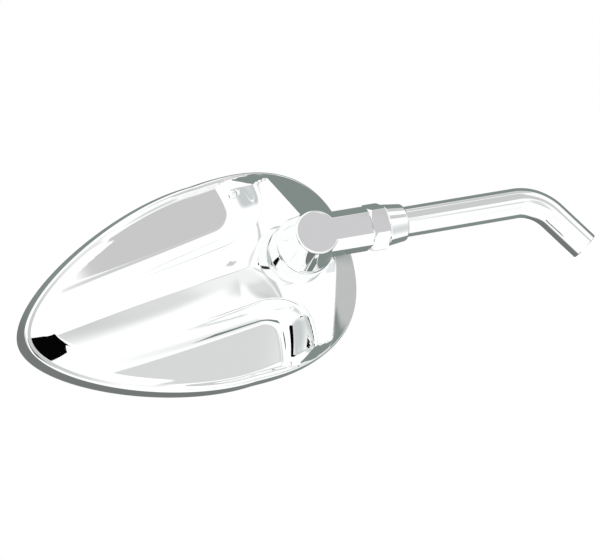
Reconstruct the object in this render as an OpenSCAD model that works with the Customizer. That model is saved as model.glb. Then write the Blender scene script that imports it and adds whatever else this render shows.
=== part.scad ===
// Teardrop mirror for a motorcycle: a hollow cast head with two scooped pockets,
// hung from a bent half-inch stem by a turning knuckle and a ball joint.
// The origin is the centre of the stem's cut end. The last leg of the stem is
// upright, the back of the mirror looks towards -Y and the glass towards +Y.

/* [Stem] */
// Diameter of the round stem bar
stem_d = 12.7; // [10:0.1:16]
// Cut end to the point where the two centre lines of the stem meet
leg_len = 29; // [26:1:60]
// Bend point to the axis of the knuckle
arm_len = 102.7; // [85:1:160]
// How far the stem is bent from straight
bend_angle = 55; // [35:1:75]
// Centre-line radius of the bend
bend_r = 19; // [14:0.5:24]
// Radius of the drilled and tapped hole in the cut end
end_hole_r = 3.4; // [2.5:0.1:4]
// Depth of the tapped hole
end_hole_depth = 16; // [10:1:20]
// Radius of the threaded spigot that the knuckle turns on
spigot_r = 5; // [4:0.1:5.5]
// Start of the spigot, measured from the knuckle axis
spigot_start = 8; // [7:0.5:12]

/* [Nut and collar] */
// Width of the hexagon nut across its flats
nut_flats = 17.6; // [15:0.1:20]
// Knuckle axis to the near face of the nut
nut_start = 24.2; // [22:0.1:30]
// Thickness of the nut
nut_h = 7.4; // [5:0.1:10]
// Diameter of the tapered collar where it meets the nut
collar_d1 = 17.6; // [15:0.1:20]
// Diameter of the tapered collar at its small end
collar_d2 = 15.6; // [14:0.1:17]
// Length of the tapered collar
collar_len = 9.2; // [6:0.1:16]

/* [Knuckle] */
// Diameter of the knuckle's flat round face
face_d = 18.8; // [17:0.1:22]
// Diameter of the knuckle at the bottom of its cone
cone_d = 24.4; // [22:0.1:26]
// Thickness of the knuckle and of its shank
knuckle_h = 16.4; // [14.5:0.1:20]
// Width of the shank across its flats
shank_w = 17; // [15:0.1:20]
// Chamfer along each edge of the shank
shank_chamfer = 3.8; // [2.5:0.1:4.5]
// Round on the rim of the knuckle's face
face_round = 0.8; // [0.3:0.1:1.5]

/* [Ball joint] */
// Radius of the ball
ball_r = 6.5; // [6:0.1:7]
// Radius of the waist between ball and stud
waist_r = 3.4; // [2.8:0.1:3.6]
// Radius of the stud
stud_r = 4; // [3.6:0.1:4.4]
// Ball centre to the open rim of the skirt
skirt_start = 9.5; // [9:0.1:11]
// Height of the skirt
skirt_h = 10.5; // [9:0.1:14]
// Outer diameter of the skirt at its open rim
skirt_d = 25.4; // [24:0.1:28]
// Radius of the domed boss that the skirt slides over
dome_r = 14.1; // [13.4:0.1:14.4]
// Wall of the plastic liner round the ball
liner_wall = 1.15; // [0.8:0.05:1.3]
// Floor of the pressure cup, under the ball
cup_floor = 1; // [0.8:0.1:1.4]
// Thickness of the plate that loads the springs
plate_t = 1.6; // [1.2:0.1:2]
// Height of the pair of disc springs
spring_stack = 1.1; // [0.9:0.1:1.3]
// Radius of the circle of the plate's screws
plate_screw_circle = 11.2; // [10.8:0.1:12]
// Radius of the plate's screws
plate_screw_r = 1.5; // [1.2:0.1:1.6]
// Wall of the boss round the ball, outside its bore
boss_wall = 6.75; // [6:0.1:8]

/* [Head] */
// Length of the head from tip to broad end
head_len = 154; // [140:1:170]
// Width of the head
head_w = 88; // [80:1:96]
// Broad end to the widest place
belly_from_end = 62; // [56:1:70]
// Height of the rim's side wall
rim_h = 10; // [9:0.5:13]
// Crest of the spine above the front plane, near the tip
crest_tip = 13; // [12:0.5:15]
// Height of the plateau above the ball centre
plateau_rise = 6.65; // [6.2:0.05:7]
// Half width of the spine at the tip
spine_tip = 10.7; // [8:0.1:12]
// Half width of the spine where the lower pocket ends
spine_top = 14.1; // [13:0.1:17]
// Place of the spine's centre line across the head, at the tip
spine_shift = -2.4; // [-4:0.1:0]
// How far that centre line bows up on its way to the ball
spine_bow = 5.6; // [2:0.1:6]
// How far the crease along the spine's crest bows up on its way to the ball
crest_bow = 2.6; // [1:0.1:5]
// How far the spine's edges lie below its crest
spine_drop = 1.8; // [0.5:0.1:3]
// Broad end to the far end of the upper pocket
upper_from_end = 40.4; // [36:0.1:44]
// Broad end to the far end of the lower pocket
lower_from_end = 35.7; // [32:0.1:42]
// Radius of the pockets' corner between the spine and their far end
pocket_corner = 14; // [6:0.5:18]
// Width of the concave wall between spine and pocket floor
scoop_w = 9; // [6:0.5:12]
// Width of the concave wall at the pockets' far end
end_scoop_w = 11; // [8:0.5:16]
// Width of the flat lip round the rim
lip_w = 1.4; // [1:0.1:3]
// Round on the pockets' edge
edge_round = 0.8; // [0.4:0.1:2]
// Broad end to the peak of the plateau's edge, where the sloping wall starts
peak_from_end = 15.5; // [13:0.5:18]
// How far that edge draws back for each millimetre up from its peak
upper_draw = 0.48; // [0.3:0.01:0.6]
// How far it draws back for each millimetre down from its peak
lower_draw = 0.43; // [0.3:0.01:0.6]
// Run of the slope from the plateau to the rim, at the head's sides
corner_run = 3.5; // [3:0.5:8]
// Run of the slope from the spine to the lip, at the tip
tip_run = 8.5; // [6:0.5:11]
// Run of the slope from a pocket's floor to the lip
lip_run = 3; // [2:0.5:5]
// Wall of the casting
wall = 2.4; // [2:0.1:3]
// Broad end to the ball's place along the head
ball_from_end = 31.5; // [28:0.5:36]
// The ball's place across the head
ball_v = 2; // [-4:0.5:4]
// Lean of the head from square to the knuckle, at rest
lean = 8.2; // [0:0.1:9]
// Turn of the head about the knuckle, tip above level
head_turn = 27.9; // [0:0.1:45]

/* [Glass] */
// Thickness of the mirror glass
glass_t = 2; // [1.8:0.1:3]
// Radius of the convex glass
glass_radius = 1300; // [1200:50:2000]
// Thickness of the foam pad behind the glass
foam_t = 1; // [0.8:0.1:1.5]
// Thickness of the backing plate
backing_t = 1.2; // [1:0.1:1.6]
// Width of the casting's rim round the glass opening
front_rim = 2; // [1.6:0.1:2.6]
// Width of the rubber gasket round the glass
gasket_w = 1.2; // [0.8:0.1:2]
// Depth of the glass edge below the front of the rim
glass_sink = 0.6; // [0.3:0.1:1]

/* [Pocket plug] */
// Pocket's far end to the plug in the upper pocket
plug_from_end = 6.1; // [5:0.1:14]
// Centre line to the plug
plug_v = 35; // [31:0.5:36]
// Radius of the plug's head
plug_r = 2; // [1.5:0.1:2.4]

/* [Hidden] */
eps = 0.01;
// Clearances: faces that move past each other, running fits, and pieces of one body
gap = 0.3;
run_fit = 0.05;
seat_gap = 0.05;

// Places in the frame
rise = 90 - bend_angle;
bend_tangent = bend_r * tan(bend_angle / 2);
// The bend is a hair thicker than the straight bars, which run a little way into it
bend_swell = 0.04;
bar_lap = 0.4;
knuckle_at = [-arm_len * cos(rise), 0, leg_len + arm_len * sin(rise)];
ball_depth = skirt_start + skirt_h + gap;
ball_at = knuckle_at + [0, knuckle_h / 2 + ball_depth, 0];

// Stem, nut and collar, measured along the arm from the knuckle axis
shank_end = nut_start - seat_gap;
nut_end = nut_start + nut_h;
collar_start = nut_end + seat_gap;

// Ball joint, measured from the ball centre along the head's own axis
liner_in = ball_r + run_fit;
liner_out = liner_in + liner_wall;
seat_r = liner_out + run_fit;
boss_r = seat_r + boss_wall;
cup_top = -2.5;
cup_bottom = -liner_in - cup_floor;
plate_top = cup_bottom - spring_stack;
boss_bottom = cup_bottom - 0.5;
stud_from = 13;
stud_bore = knuckle_h - 4;
liner_mouth = 4.9;
liner_low = -1.2;
// The dome's mouth widens, so that the leaning waist clears it
mouth_low = 4.5;
mouth_r1 = 5.0;
mouth_r2 = 8.0;
plate_screw_len = 7;
plug_seat = 0.6;
// Steps along the ribs, close together at the lip and down the concave wall
outside_steps = [0, 0.03, 0.06, 0.1, 0.14, 0.19, 0.3, 0.45, 0.6, 0.72, 0.82, 0.9, 0.96,
                 1, 1.06, 1.2, 1.5];
inside_steps = [0, 0.1, 0.5, 0.7, 0.85, 1, 1.5];

// Places along the head, measured from its tip
belly = head_len - belly_from_end;
upper_end = head_len - upper_from_end;
lower_end = head_len - lower_from_end;
ball_u = head_len - ball_from_end;
plug_u = upper_end - plug_from_end;
roof_fade = ball_u - 34.5;
roof_gone = ball_u - 14.5;
end_from = ball_u - 22.5;
end_full = ball_u + 2.5;
// The peak of the plateau's edge: its place across the head, and its round
peak_v = -4;
peak_round = 3;
// The pockets' far ends reach furthest at this distance from the spine's centre line
far_mid = 28;
far_bow = 0.012;

// Head outline: handles of the two curves of each side
tip_handle = 19;
belly_in = 37;
belly_out = 9;
end_handle = 52;
// Rounding of the rim's side wall: how far in, and how high as a share of the rim
rim_profile = [[1.0, 0], [0.25, 0.06], [0, 0.18], [0.45, 0.6], [0.9, 0.88], [1.3, 0.96], [1.9, 1]];
top_inset = rim_profile[len(rim_profile) - 1][0];
cavity_inset = top_inset + wall - 0.4;

// The glass is part of a sphere. It is sunk least at the head's widest place.
glass_inset = front_rim + gasket_w;
glass_mid = head_len / 2;
glass_reach = glass_mid - glass_inset;
belly_reach = norm([glass_mid - belly, head_w/2 - glass_inset]);
stack_t = glass_t + foam_t + backing_t;
function lens_z(r) = glass_sink + (r*r - belly_reach*belly_reach) / (2*glass_radius);
ledge_z = lens_z(glass_reach) + stack_t + seat_gap;

// Heights above the front plane: the ball joint's plate and screws clear the backing plate
plate_reach = ball_u + plate_screw_circle + 2*plate_screw_r - glass_mid;
ball_z = lens_z(plate_reach) + stack_t + gap + plate_t - plate_top;
crest_top = ball_z + plateau_rise;

function bez(a, b, c, d, t) =
    let (s = 1 - t) s*s*s*a + 3*s*s*t*b + 3*s*t*t*c + t*t*t*d;

// A point of the outline's upper side: t runs from 0 at the tip to 2 at the broad end
function edge(t, inset) =
    let (len = head_len - 2*inset, half = head_w/2 - inset, mid = belly - inset)
    let (p = t <= 1
        ? bez([0, 0], [0, tip_handle - inset/2], [mid - belly_in, half], [mid, half], t)
        : bez([mid, half], [mid + belly_out, half], [len, end_handle - inset], [len, 0], t - 1))
    [p[0] + inset, p[1]];

// The closed outline, once round
function ring_t(i, n) = 2 * i / n;
function outline(inset, n) = concat(
    [for (i = [0:n]) edge(ring_t(i, n), inset)],
    [for (i = [n-1:-1:1]) let (p = edge(ring_t(i, n), inset)) [p[0], -p[1]]]);

// Distance from a point to the inner edge of the rim
rim_line = [for (i = [0:48]) edge(ring_t(i, 48), top_inset)];
function seg_dist(p, a, b) =
    let (ab = b - a, k = max(0, min(1, ((p - a) * ab) / (ab * ab)))) norm(p - a - k*ab);
function rim_dist(p) = min([for (i = [0:47]) seg_dist(p, rim_line[i], rim_line[i+1])]);

function ramp(x) = max(0, min(1, x));
function soft(x) = let (k = ramp(x)) k*k*(3 - 2*k);
function scoop(x) = 1 - pow(1 - ramp(x), 2.3);

// The spine: its half width, its centre line and the height of its crest
function spine_half(u) = spine_tip + (spine_top - spine_tip) * u / lower_end;
function spine_mid(u) = spine_shift + spine_bow * pow(u / ball_u, 2);
function crest(u) = crest_tip + (crest_top - crest_tip) * sin(90 * ramp(u / ball_u));
// It is a low roof with a crease along its crest, which flattens into the plateau round
// the ball joint
function crest_line(u) = spine_shift + crest_bow * pow(u / ball_u, 2);
function roof(u) = 1 - soft((u - roof_fade) / (roof_gone - roof_fade));
function plateau(u, v) =
    let (x = min(1.1, abs(v - crest_line(u)) / spine_top))
    crest(u) - spine_drop * roof(u) * (0.6*x + 0.4*x*x);
// Depth of the pocket as a share, from the distances to its edges along the spine and
// at its far end, with a round corner between the two. off is the distance from the
// spine's centre line.
function pocket_far(v, off) = (v > 0 ? upper_end : lower_end) - far_bow * pow(off - far_mid, 2);
function corner(a, b) = a < pocket_corner && b < pocket_corner
    ? pocket_corner - norm([pocket_corner - a, pocket_corner - b])
    : min(a, b);
// A distance whose start, at zero, is rounded
function eased(d) = d < edge_round ? pow(max(0, d + edge_round), 2) / (4*edge_round) : d;
function pocket(u, v, off) =
    scoop(eased(corner(off - spine_half(u), (pocket_far(v, off) - u) * scoop_w / end_scoop_w)) / scoop_w);
function floor_z(u, off) =
    rim_h - 0.8 + 3 * ramp(1 - (off - spine_half(u)) / max(1, head_w/2 - 4 - spine_half(u)));
function end_share(u) = soft((u - end_from) / (end_full - end_from));
function plateau_edge(v) =
    head_len - peak_from_end
    - (v > peak_v ? upper_draw : lower_draw) * (norm([v - peak_v, peak_round]) - peak_round);
// Height of the casting's outside above the front plane. The lip narrows to nothing
// round the broad end.
function top_z(u, v) =
    let (off = abs(v - spine_mid(u)), deep = pocket(u, v, off), top = plateau(u, v))
    let (body = top - (top - floor_z(u, off)) * deep)
    let (side_run = tip_run + (corner_run - tip_run) * end_share(u))
    let (d = max(0, rim_dist([u, abs(v)]) - lip_w * (1 - end_share(u))))
    let (run = max(side_run * (1 - deep) + lip_run * deep, d + u - plateau_edge(v)))
    rim_h + (body - rim_h) * (body < rim_h ? soft(d / 1.5) : ramp(d / run));

// Ribs run from the rim to the spine's crest. Along each, the edge of the spine lies on
// a grid line, so that it stays crisp. x is 0 at the rim, 1 at that edge and 2 on the
// crest. side is 1 above that line and -1 below it. At both ends of the head the feet
// of the ribs leave the crest for the head's own centre line.
first_foot = 7;
last_foot = head_len - peak_from_end - 1;
function foot(u) = u <= belly
    ? first_foot + (belly - first_foot) * u / belly
    : belly + (last_foot - belly) * (u - belly) / (head_len - top_inset - belly);
function foot_v(f) = crest_line(f) * soft((f - first_foot) / (belly - first_foot) * 3)
    * soft((last_foot - f) / (last_foot - lower_end));
function crease(e, side, k = 0.7, rounds = 4) = rounds == 0 ? k :
    let (f = foot(e[0]), u = e[0] + (f - e[0])*k)
    let (share = (e[1] - side*spine_mid(u) - spine_half(u)) / max(1, e[1] - side*foot_v(f)))
    crease(e, side, max(0.26, min(0.9, share)), rounds - 1);
function rib(t, side, inset, x) =
    let (e = edge(t, inset), f = foot(e[0]), c = crease(e, side))
    let (k = x <= 1 ? c*x : c + (1 - c)*(x - 1))
    [e[0] + (f - e[0])*k, side*e[1] + (foot_v(f) - side*e[1])*k];
// More ribs where the pockets end
function rib_t(i, n) = 2*i/n + 0.06 * sin(360*i/n);

// A closed solid under the casting's outside, lowered by drop: rings of points from
// the rim inwards to the centre line, then down the side wall to a flat underside
module head_solid(n, xs, inset, drop, side) {
    loop = 2*n;
    last = len(xs) - 1;
    turn = [for (i = [0:loop-1]) i <= n ? i : loop - i];
    rings = [for (r = [0:last], i = [0:loop-1])
        let (p = rib(rib_t(turn[i], n), i <= n ? 1 : -1, inset, xs[r]))
        [p[0], p[1], top_z(p[0], p[1]) - drop]];
    spine = [for (i = [0:n])
        let (p = rib(rib_t(i, n), 1, inset, 2)) [p[0], p[1], top_z(p[0], p[1]) - drop]];
    walls = [for (s = side, i = [0:loop-1])
        let (e = edge(rib_t(turn[i], n), s[0])) [e[0], i <= n ? e[1] : -e[1], s[1]]];
    spine_at = len(rings);
    wall_at = spine_at + n + 1;
    floor_at = wall_at + (len(side) - 1)*loop;
    next = [for (i = [0:loop-1]) (i + 1) % loop];
    faces = concat(
        [for (r = [0:last-1], i = [0:loop-1]) let (a = r*loop, b = a + loop) each [
            [a + i, a + next[i], b + i],
            [a + next[i], b + next[i], b + i]]],
        [for (i = [0:loop-1]) let (a = last*loop, f = spine_at + turn[i], g = spine_at + turn[next[i]])
            each [[a + i, a + next[i], f], [a + next[i], g, f]]],
        [for (l = [0:len(side)-1], i = [0:loop-1])
            let (a = l == 0 ? 0 : wall_at + (l - 1)*loop, b = wall_at + l*loop) each [
            [a + i, b + i, a + next[i]],
            [a + next[i], b + i, b + next[i]]]],
        [[for (i = [loop-1:-1:0]) floor_at + i]]);
    polyhedron(concat(rings, spine, walls), faces, convexity = 8);
}

// Frames: the arm from the knuckle, the ball joint square to the knuckle, and the head
module at_arm() {
    translate(knuckle_at) rotate([0, rise, 0]) rotate([90, 0, 0]) children();
}
module at_stud() {
    translate(ball_at) rotate([90, 0, 0]) children();
}
module at_ball() {
    translate(ball_at) rotate([90 + lean, 0, 0]) rotate([0, 0, -head_turn]) children();
}
module at_head() {
    at_ball() translate([-ball_u, -ball_v, -ball_z]) children();
}
module bar(x0, x1, r) {
    translate([x0, 0, 0]) rotate([0, 90, 0]) cylinder(h = x1 - x0, r = r, $fn = 64);
}
module slab(inset, z0, z1) {
    translate([0, 0, z0]) linear_extrude(z1 - z0) polygon(outline(inset, 36));
}

// Stem: bent bar with a tapped hole in its cut end and a spigot for the knuckle
module stem() {
    leg_top = leg_len - bend_tangent;
    color("silver") difference() {
        union() {
            cylinder(h = leg_top + bar_lap, d = stem_d, $fn = 64);
            translate([-bend_r, 0, leg_top]) rotate([90, 0, 0])
                rotate_extrude(angle = bend_angle, $fn = 96)
                    translate([bend_r, 0]) circle(d = stem_d + bend_swell, $fn = 64);
            at_arm() bar(nut_end, arm_len - bend_tangent + bar_lap, stem_d/2);
            at_arm() bar(spigot_start, nut_end + 1, spigot_r);
        }
        translate([0, 0, -1]) cylinder(h = end_hole_depth + 1, r = end_hole_r, $fn = 48);
    }
}

module stem_collar() {
    edge_cut = 0.5;
    bore = stem_d/2 + seat_gap;
    color("silver") at_arm() translate([collar_start, 0, 0]) rotate([0, 90, 0])
        rotate_extrude($fn = 96) polygon([
            [bore, 0], [collar_d1/2 - edge_cut, 0], [collar_d1/2, edge_cut],
            [collar_d2/2, collar_len - edge_cut], [collar_d2/2 - edge_cut, collar_len],
            [bore, collar_len]]);
}

module jam_nut() {
    corner_r = nut_flats / 2 / cos(30);
    cut = 1.2;
    color("silver") at_arm() translate([nut_start, 0, 0]) rotate([0, 90, 0]) difference() {
        intersection() {
            rotate([0, 0, 30]) cylinder(h = nut_h, r = corner_r, $fn = 6);
            rotate_extrude($fn = 96) polygon([
                [0, 0], [corner_r - 1.6, 0], [corner_r, cut],
                [corner_r, nut_h - cut/2], [corner_r - 0.8, nut_h], [0, nut_h]]);
        }
        translate([0, 0, -1]) cylinder(h = nut_h + 2, r = spigot_r + seat_gap, $fn = 64);
    }
}

// Knuckle: a cone with a flat round face, and the eight-sided shank that takes the stem
module knuckle() {
    half = knuckle_h / 2;
    w = shank_w / 2;
    c = shank_chamfer;
    face_r = face_d / 2;
    color("gainsboro") at_arm() difference() {
        union() {
            rotate_extrude($fn = 96) polygon(concat(
                [[0, -half], [cone_d/2 - 0.4, -half], [cone_d/2, -half + 0.4]],
                [for (a = [0:22.5:90]) [face_r - face_round*(1 - cos(a)), half - face_round*(1 - sin(a))]],
                [[0, half]]));
            rotate([90, 0, 90]) linear_extrude(shank_end) polygon([
                [w - c, -half], [w, -half + c], [w, half - c], [w - c, half],
                [-w + c, half], [-w, half - c], [-w, -half + c], [-w + c, -half]]);
        }
        bar(spigot_start - 1, shank_end + 1, spigot_r + run_fit);
        translate([0, 0, -half - 1])
            cylinder(h = stud_bore + 1, r = stud_r + seat_gap, $fn = 64);
    }
}

// Ball with a waist, and the stud that holds it in the knuckle
module ball_stud() {
    color("lightsteelblue") at_stud() union() {
        sphere(r = ball_r, $fn = 96);
        cylinder(h = stud_from + 1, r = waist_r, $fn = 64);
        translate([0, 0, stud_from])
            cylinder(h = ball_depth + stud_bore - 0.5 - stud_from, r = stud_r, $fn = 64);
    }
}

// Skirt: the round cover between knuckle and head, hollowed to slide over the dome
module skirt() {
    r = skirt_d / 2;
    top = skirt_start + skirt_h;
    color("gainsboro") at_stud() difference() {
        rotate_extrude($fn = 96) polygon([
            [0, skirt_start], [r - 0.5, skirt_start], [r, skirt_start + 0.5],
            [r, top - 1.6], [r - 0.45, top - 0.5], [r - 1.2, top], [0, top]]);
        sphere(r = dome_r + gap, $fn = 96);
        cylinder(h = top + 1, r = stud_r + run_fit, $fn = 64);
    }
}

module ball_liner() {
    color("white") at_ball() difference() {
        sphere(r = liner_out, $fn = 96);
        sphere(r = liner_in, $fn = 96);
        cylinder(h = seat_r + 1, r = liner_mouth, $fn = 64);
        translate([0, 0, liner_low - 2*seat_r]) cylinder(h = 2*seat_r, r = 2*seat_r, $fn = 64);
    }
}

module plate_screw_places() {
    for (a = [90, 210, 330]) rotate([0, 0, a]) translate([plate_screw_circle, 0, 0]) children();
}

// Head casting: one thin shell with spine, pockets, rim, and the dome and bore for the ball
module housing() {
    plug_at = [plug_u, plug_v, top_z(plug_u, plug_v)];
    color("gainsboro") at_head() difference() {
        union() {
            difference() {
                head_solid(84, outside_steps, top_inset, 0,
                    [for (i = [len(rim_profile)-2:-1:0]) [rim_profile[i][0], rim_profile[i][1]*rim_h]]);
                difference() {
                    head_solid(36, inside_steps, cavity_inset, wall, [[cavity_inset, ledge_z - eps]]);
                    translate([ball_u, ball_v, ball_z + boss_bottom])
                        cylinder(h = 40, r = boss_r, $fn = 72);
                    translate([plug_u, plug_v, 0]) cylinder(h = 40, r = plug_r + 1.5, $fn = 32);
                }
            }
            translate([ball_u, ball_v, ball_z]) intersection() {
                sphere(r = dome_r, $fn = 96);
                cylinder(h = dome_r + 1, r = dome_r - 1, $fn = 72);
            }
        }
        slab(front_rim, -1, ledge_z);
        translate([ball_u, ball_v, ball_z]) {
            sphere(r = seat_r, $fn = 96);
            translate([0, 0, boss_bottom - 10]) cylinder(h = -boss_bottom + 10, r = seat_r, $fn = 96);
            translate([0, 0, mouth_low])
                cylinder(h = dome_r + 1 - mouth_low, r1 = mouth_r1, r2 = mouth_r2, $fn = 72);
            plate_screw_places() translate([0, 0, boss_bottom - 1])
                cylinder(h = plate_screw_len, r = plate_screw_r + seat_gap, $fn = 32);
        }
        translate(plug_at) {
            translate([0, 0, -plug_seat]) cylinder(h = 5, r = plug_r + seat_gap, $fn = 32);
            translate([0, 0, -12]) cylinder(h = 12, r = plug_r/2 + seat_gap, $fn = 32);
        }
    }
}

module pressure_cup() {
    color("dimgray") at_ball() difference() {
        translate([0, 0, cup_bottom]) cylinder(h = cup_top - cup_bottom, r = seat_r - seat_gap, $fn = 96);
        sphere(r = liner_in, $fn = 96);
    }
}

// Two disc springs, dished against each other
module disc_springs() {
    t = spring_stack * 0.4;
    dish = spring_stack/2 - t;
    color("slategray") at_ball() for (flip = [0, 1]) translate([0, 0, cup_bottom - spring_stack/2])
        mirror([0, 0, flip]) rotate_extrude($fn = 72) polygon([
            [3, dish], [6.8, 0], [6.8, t], [3, t + dish]]);
}

module spring_plate() {
    color("silver") at_ball() translate([0, 0, plate_top - plate_t]) difference() {
        linear_extrude(plate_t) union() {
            circle(r = plate_screw_circle - 1, $fn = 72);
            plate_screw_places() circle(r = boss_wall/2 - 0.2, $fn = 48);
        }
        plate_screw_places() {
            translate([0, 0, -1]) cylinder(h = plate_t + 2, r = plate_screw_r + seat_gap, $fn = 32);
            translate([0, 0, -eps]) cylinder(h = plate_screw_r + eps, r1 = 2*plate_screw_r + seat_gap,
                r2 = plate_screw_r + seat_gap, $fn = 32);
        }
    }
}

module plate_screws() {
    color("dimgray") at_ball() translate([0, 0, plate_top - plate_t]) plate_screw_places() difference() {
        union() {
            cylinder(h = plate_screw_r, r1 = 2*plate_screw_r, r2 = plate_screw_r, $fn = 32);
            cylinder(h = plate_screw_len, r = plate_screw_r, $fn = 32);
        }
        translate([0, 0, -1]) cylinder(h = 1.9, r = plate_screw_r * 0.6, $fn = 6);
    }
}

// A slice of the glass stack: the sphere's own curve, cut to the head's outline
module lens(from, t) {
    steps = 12;
    reach = glass_reach + 4;
    intersection() {
        slab(glass_inset, -4, ledge_z + 2);
        translate([glass_mid, 0, 0]) rotate_extrude($fn = 96) polygon(concat(
            [for (i = [0:steps]) let (r = reach*i/steps) [r, lens_z(r) + from]],
            [for (i = [steps:-1:0]) let (r = reach*i/steps) [r, lens_z(r) + from + t]]));
    }
}
module mirror_glass() { color("lightblue") at_head() lens(0, glass_t); }
module foam_pad() { color("dimgray") at_head() lens(glass_t, foam_t); }
module backing_plate() { color("gray") at_head() lens(glass_t + foam_t, backing_t); }

module glass_gasket() {
    low = glass_sink / 2;
    color("black") at_head() difference() {
        slab(front_rim + seat_gap, low, ledge_z - stack_t + glass_t);
        slab(glass_inset - seat_gap, -1, ledge_z + 1);
    }
}

module pocket_plug() {
    dome = 1.3;
    color("gainsboro") at_head() translate([plug_u, plug_v, top_z(plug_u, plug_v) - plug_seat]) {
        intersection() {
            cylinder(h = 4, r = plug_r, $fn = 48);
            translate([0, 0, dome - plug_r*1.35]) sphere(r = plug_r*1.35, $fn = 48);
        }
        translate([0, 0, -1.4]) cylinder(h = 1.5, r = plug_r/2, $fn = 32);
    }
}

stem();
stem_collar();
jam_nut();
knuckle();
ball_stud();
skirt();
ball_liner();
housing();
pressure_cup();
disc_springs();
spring_plate();
plate_screws();
backing_plate();
foam_pad();
glass_gasket();
mirror_glass();
pocket_plug();
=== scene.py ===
import math

import bmesh
import bpy
import numpy as np
from mathutils import Matrix, Vector


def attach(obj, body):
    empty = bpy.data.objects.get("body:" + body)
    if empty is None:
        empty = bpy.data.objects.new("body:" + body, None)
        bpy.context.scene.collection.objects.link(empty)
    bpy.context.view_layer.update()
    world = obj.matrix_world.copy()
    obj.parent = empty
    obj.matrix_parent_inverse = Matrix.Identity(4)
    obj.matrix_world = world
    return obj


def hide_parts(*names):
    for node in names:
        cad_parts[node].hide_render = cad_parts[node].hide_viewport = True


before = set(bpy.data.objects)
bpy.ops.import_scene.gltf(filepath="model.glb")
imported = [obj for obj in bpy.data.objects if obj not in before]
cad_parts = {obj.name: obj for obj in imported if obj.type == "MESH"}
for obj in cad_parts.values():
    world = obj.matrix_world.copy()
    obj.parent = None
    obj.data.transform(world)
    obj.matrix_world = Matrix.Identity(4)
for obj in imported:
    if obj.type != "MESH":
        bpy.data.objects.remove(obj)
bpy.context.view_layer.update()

# Sizes in millimetres, the solids' own where both have the form. The crest line and the fade of the
# spine's roof are fitted closer to the photo here.

# Stem, jam nut and collar
STEM_D = 12.7
LEG_LEN = 29
ARM_LEN = 102.7
BEND_ANGLE = 55
BEND_R = 19
HOLE_R = 3.4
HOLE_DEPTH = 16
DRILL_POINT = 1.5
THREAD_PITCH = 1.25
THREAD_CREST = 0.94  # of the hole's radius
THREAD_STOP = 1.5
STEM_BREAK = 0.35
SPIGOT_R = 5
SPIGOT_START = 8
NUT_FLATS = 17.6
NUT_START = 24.2
NUT_H = 7.4
NUT_BREAK = 0.3
NUT_CHAMFER_W = 1.6
NUT_CHAMFER_H = 1.2
COLLAR_D1 = 17.6
COLLAR_D2 = 15.6
COLLAR_LEN = 9.2
COLLAR_BREAK = 0.5
COLLAR_ROUND = 0.4

# Knuckle and ball joint
FACE_D = 18.8
CONE_D = 24.4
KNUCKLE_H = 16.4
SHANK_W = 17
SHANK_CHAMFER = 3.8
FACE_ROUND = 0.8
CONE_BREAK = 0.4
SHANK_BREAK = 0.25
SPIGOT_ROOM = 1
STUD_COVER = 4
BALL_R = 6.5
STUD_R = 4
SKIRT_START = 9.5
SKIRT_H = 10.5
SKIRT_D = 25.4
SKIRT_LIP = 1.5
SHOULDER_W = 1.2
SHOULDER_H = 1.6
SHOULDER_MID = (0.45, 0.5)
SKIRT_ROUND = 0.5
DOME_R = 14.1
DOME_FOOT = 1
LINER_WALL = 1.15
PLATE_T = 1.6
SPRING_STACK = 1.1
CUP_FLOOR = 1
PLATE_SCREW_CIRCLE = 11.2
PLATE_SCREW_R = 1.5
BOSS_WALL = 6.75
MOUTH_LOW = 4.5
MOUTH_LOW_R = 5
MOUTH_R = 8
BORE_CUT_R = 9
SEAT_ARC = 0.7

# Head
HEAD_LEN = 154
HEAD_W = 88
BELLY = HEAD_LEN - 62
RIM_H = 10
CREST_TIP = 13
PLATEAU_RISE = 6.65
SPINE_TIP = 10.7
SPINE_TOP = 14.1
SPINE_DROP = 1.8
SPINE_SHIFT = -2.4
SPINE_BOW = 5.6
ROOF_FADE = 30
ROOF_RUN = 18
ROOF_STRAIGHT = 0.6
ROOF_LIMIT = 1.1
CREST_SHIFT = -1.8
CREST_BOW = 4.6
UPPER_POCKET_END = HEAD_LEN - 40.4
LOWER_POCKET_END = HEAD_LEN - 35.7
POCKET_CORNER = 14
SCOOP_W = 9
END_SCOOP_W = 11
SCOOP_POWER = 2.3
POCKET_DROP = 0.8
POCKET_RISE = 3
POCKET_MARGIN = 4
LIP_W = 1.4
PEAK_U = HEAD_LEN - 15.5
PEAK_V = -4
PEAK_ROUND = 3
UPPER_DRAW = 0.48
LOWER_DRAW = 0.43
CORNER_RUN = 3.5
TIP_RUN = 8.5
LIP_RUN = 3
LOW_EASE = 1.5
EDGE_ROUND = 0.8
FAR_MID = 28
FAR_BOW = 0.012
WALL = 2.4
THINNER_AT_RIM = 0.4
BALL_U = HEAD_LEN - 31.5
BALL_V = 2
LEAN = 8.2
HEAD_TURN = 27.9

# Glass stack and pocket plug
GLASS_T = 2
GLASS_RADIUS = 1300
FOAM_T = 1
BACKING_T = 1.2
FRONT_RIM = 2
FRONT_BREAK = 0.3
GASKET_W = 1.2
GLASS_SINK = 0.6
PLUG_U = UPPER_POCKET_END - 6.1
PLUG_V = 35
PLUG_R = 2
PLUG_SEAT = 0.6
PLUG_DOME = 1.3
PLUG_BEND = 1.2  # radius of its domed end, as a share of its own
PLUG_PIN = 1.4
PLUG_CUT = 6
GROUND_EDGE = 0.25
GASKET_ROUND = (0.4, 0.3)

# Clearances
GAP = 0.3
RUN_FIT = 0.05
SEAT_GAP = 0.05

# How far a cut runs past what it cuts, and how near two corners are the same corner
PAST = 1
MERGE = 0.002

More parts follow.
